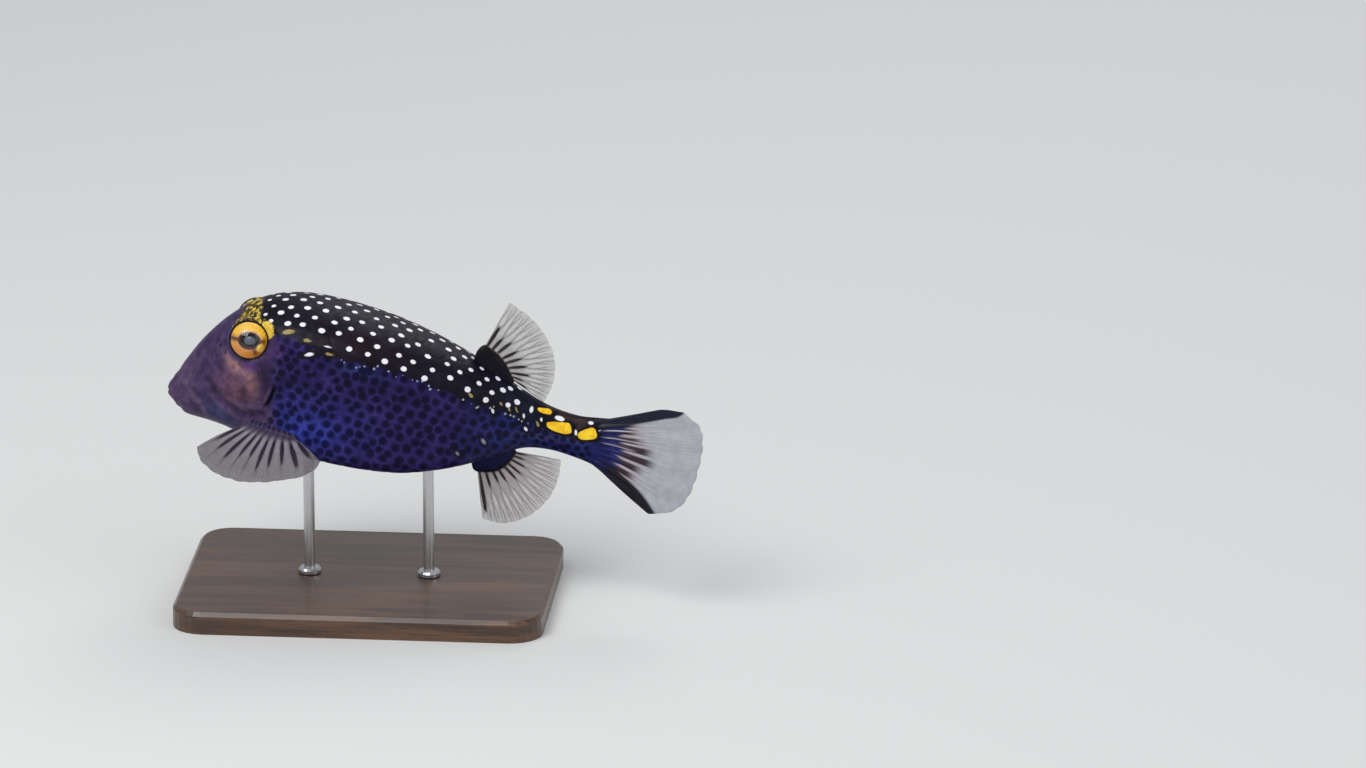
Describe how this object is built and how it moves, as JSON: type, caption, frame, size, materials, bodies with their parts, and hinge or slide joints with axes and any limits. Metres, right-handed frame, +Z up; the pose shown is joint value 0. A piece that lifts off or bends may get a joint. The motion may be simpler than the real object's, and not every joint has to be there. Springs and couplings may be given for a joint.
{
  "type": "spotted boxfish",
  "caption": "Still life-size model of a male spotted boxfish with a boxy plated shell, spread fins and bent tail, held on a plain base by short rods.",
  "frame": {"origin": "on the floor, under the middle of the model's bounding box", "axes": "+X from the snout to the tail, +Y to the fish's right, +Z up"},
  "size_m": [0.1698, 0.084, 0.0978],
  "materials": {
    "head_skin": "satin violet-grey skin",
    "lip_skin": "satin grey-mauve skin",
    "eye": "glossy golden eye with a dark pupil",
    "shell_skin": "satin plated skin, black with white dots above and deep blue with dark dots at the sides",
    "tail_skin": "satin blue skin with yellow bars and white dots",
    "fin": "thin clear grey fin sheet with rays",
    "fin_lobe": "satin dark fleshy fin root",
    "stand_wood": "satin dark stained wood",
    "stand_steel": "brushed"
  },
  "bodies": {
    "root": {"head": "head_skin", "upper_lip": "lip_skin", "lower_lip": "lip_skin", "eye_left": "eye", "eye_right": "eye", "carapace": "shell_skin", "tail_stalk": "tail_skin", "caudal_fin": "fin", "dorsal_fin": "fin", "dorsal_fin_lobe": "fin_lobe", "anal_fin": "fin", "anal_fin_lobe": "fin_lobe", "pectoral_fin_left": "fin", "pectoral_fin_right": "fin", "pectoral_lobe_left": "fin_lobe", "pectoral_lobe_right": "fin_lobe", "stand_base": "stand_wood", "stand_rod_front": "stand_steel", "stand_rod_rear": "stand_steel"}
  },
  "joints": []
}
